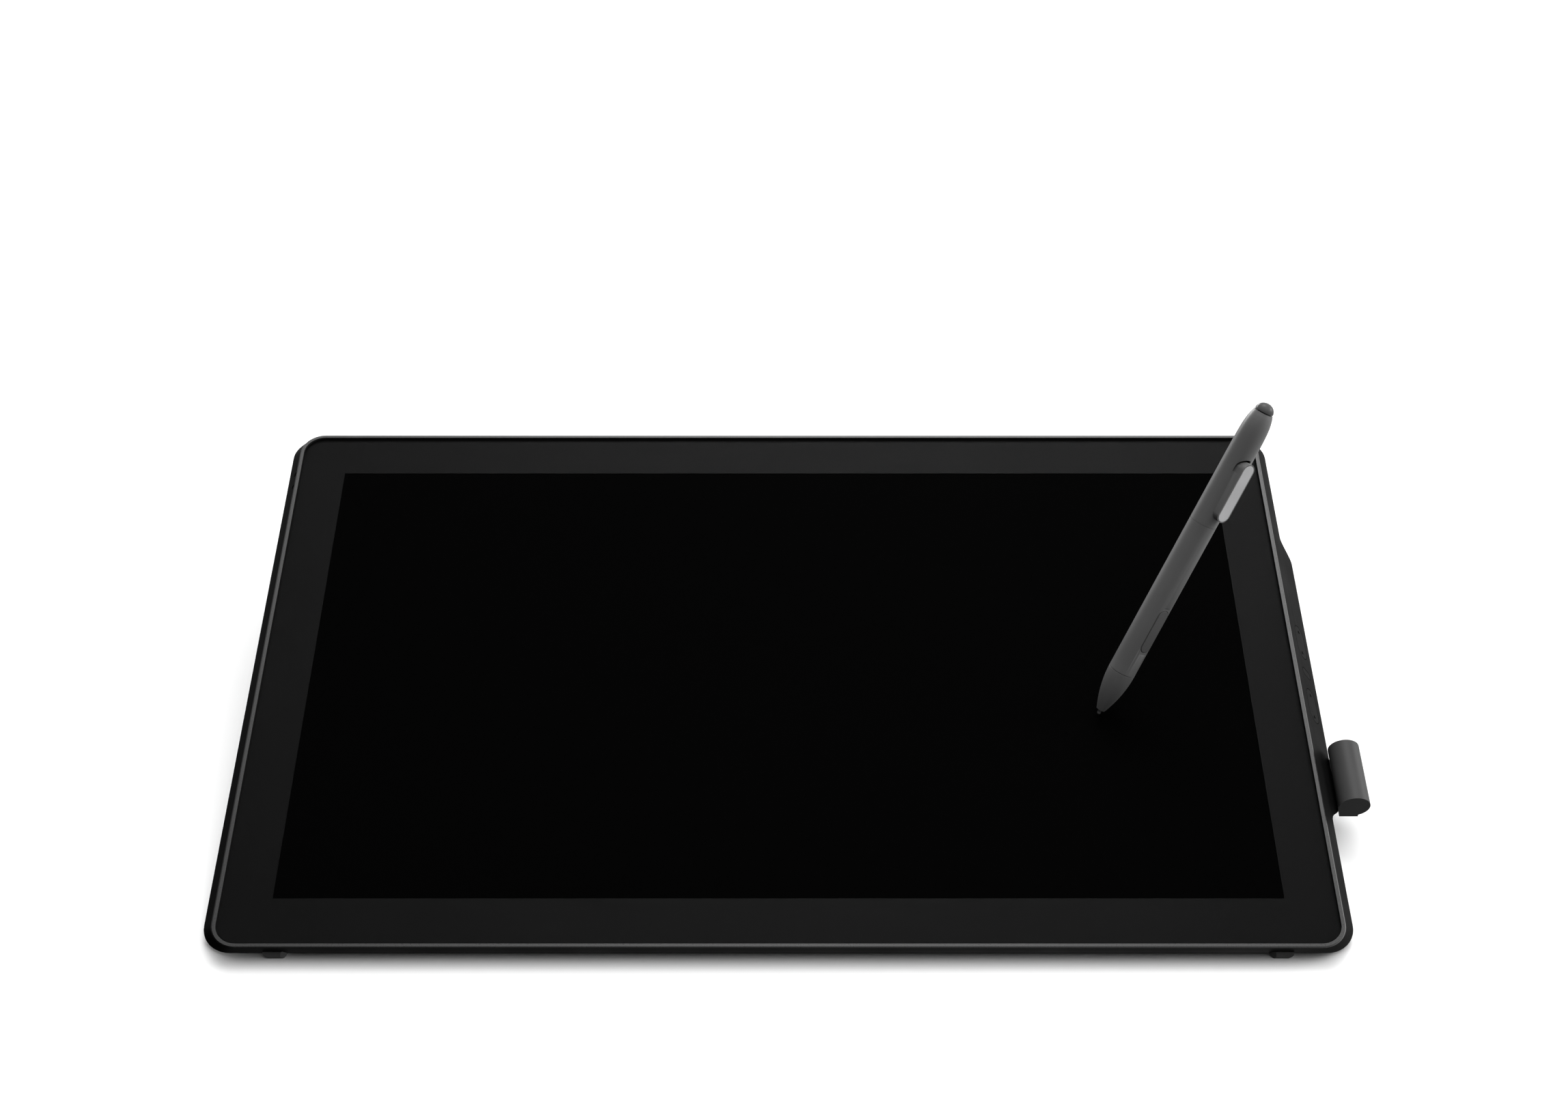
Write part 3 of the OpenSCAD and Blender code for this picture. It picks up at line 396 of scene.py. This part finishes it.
def floor():
    """A pale sheet of paper. Bounced light doesn't see it, so undersides stay dark."""
    mesh = bpy.data.meshes.new("floor")
    corners = [(x * FLOOR_REACH, y * FLOOR_REACH, 0)
               for x, y in ((-1, -1), (1, -1), (1, 1), (-1, 1))]
    mesh.from_pydata(corners, [], [(0, 1, 2, 3)])
    piece = bpy.data.objects.new("floor", mesh)
    bpy.context.scene.collection.objects.link(piece)
    g = Graph("floor_paper")
    g.set(Base_Color=rgba(FLOOR_SHADE), Specular_IOR_Level=0.0,
          Roughness=g.between(g.noise(300.0), 0.85, 0.95))
    mesh.materials.append(g.material)
    piece.visible_glossy = False
    piece.visible_diffuse = False


def area_light(name, place, aim, size, power, glossy=True):
    """A rectangular light in metres and watts, turned toward a point."""
    data = bpy.data.lights.new(name, "AREA")
    data.shape = "RECTANGLE"
    data.size, data.size_y = size
    data.energy = power
    light = bpy.data.objects.new(name, data)
    light.location = place
    light.rotation_euler = (Vector(aim) - Vector(place)).to_track_quat("-Z", "Y").to_euler()
    light.visible_glossy = glossy
    bpy.context.scene.collection.objects.link(light)


GLOW_AZIMUTH = math.radians(8)
GLOW_HEIGHT = math.radians(62)
GLOW_POWER = 8.0
GLOW_FOCUS = 38.0  # the higher, the smaller the glow
WALL_LEAN = (0.55, 0.3, 0.0)  # the walls are brightest toward this direction
WALL_BASE = 0.23  # their light square to that direction
WALL_FADE = 1.8  # how fast the walls fade with height
CEILING = 0.06
CEILING_EDGE = 4.0  # how fast the ceiling's light ends below the horizon
UP = (0.0, 0.0, 1.0)


class Sky:
    """The world's brightness as a sum and product of functions of the direction."""

    def __init__(self):
        world = bpy.data.worlds.new("studio")
        world.use_nodes = True
        bpy.context.scene.world = world
        self.tree = world.node_tree
        self.background = self.tree.nodes["Background"]
        self.direction = self.tree.nodes.new("ShaderNodeTexCoord").outputs["Generated"]

    def toward(self, aim):
        product = self.tree.nodes.new("ShaderNodeVectorMath")
        product.operation = "DOT_PRODUCT"
        product.inputs[1].default_value = aim
        self.tree.links.new(self.direction, product.inputs[0])
        return product.outputs["Value"]

    def calc(self, operation, a, b, clamp=False):
        made = self.tree.nodes.new("ShaderNodeMath")
        made.operation = operation
        made.use_clamp = clamp
        for socket, value in zip(made.inputs, (a, b)):
            if isinstance(value, float):
                socket.default_value = value
            else:
                self.tree.links.new(value, socket)
        return made.outputs[0]

    def shine(self, level):
        self.tree.links.new(level, self.background.inputs["Strength"])
        self.background.inputs["Color"].default_value = (1, 1, 1, 1)


def sky():
    """A dim ceiling with one soft glow high behind the screen, and walls brightest on the right."""
    made = Sky()
    glow_aim = (math.sin(GLOW_AZIMUTH) * math.cos(GLOW_HEIGHT),
                math.cos(GLOW_AZIMUTH) * math.cos(GLOW_HEIGHT), math.sin(GLOW_HEIGHT))
    facing = made.calc("ADD", made.toward(glow_aim), 0.0, clamp=True)
    glow = made.calc("MULTIPLY", made.calc("POWER", facing, GLOW_FOCUS), GLOW_POWER)
    walls = made.calc("ADD", made.toward(WALL_LEAN), WALL_BASE, clamp=True)
    fade = made.calc("MULTIPLY", made.toward(UP), WALL_FADE)
    low = made.calc("SUBTRACT", 1.0, fade, clamp=True)
    rise = made.calc("MULTIPLY", made.toward(UP), CEILING_EDGE)
    above = made.calc("ADD", rise, 1.0, clamp=True)
    level = made.calc("ADD", glow, made.calc("MULTIPLY", walls, low))
    made.shine(made.calc("ADD", level, made.calc("MULTIPLY", above, CEILING)))


def lamps():
    """A broad fill above, a small light on the right and one low behind the stand."""
    area_light("fill", place=(0.6, -0.3, 3.8), aim=(0, 0, 0), size=(4.0, 4.0), power=134,
               glossy=False)
    area_light("side", place=(2.2, 0.3, 0.9), aim=(0.25, 0, 0.03), size=(1.2, 0.8), power=20)
    area_light("back", place=(-0.8, 2.4, 0.6), aim=(0, 0.1, 0.08), size=(2.0, 0.8), power=42)


LENS = 50.504
SENSOR_WIDTH = 36
CAMERA_PLACE = (-0.00829, -1.01709, 0.78364)
CAMERA_TILT = math.radians(57.64)


def camera():
    """The photograph's view, found from the lit area's four corners."""
    data = bpy.data.cameras.new("camera")
    data.lens = LENS
    data.sensor_width = SENSOR_WIDTH
    data.clip_end = 30
    piece = bpy.data.objects.new("camera", data)
    piece.location = CAMERA_PLACE
    piece.rotation_euler = Euler((CAMERA_TILT, 0, 0))
    bpy.context.scene.collection.objects.link(piece)
    bpy.context.scene.camera = piece


floor()
sky()
lamps()
camera()
bpy.context.scene.view_settings.view_transform = "Standard"
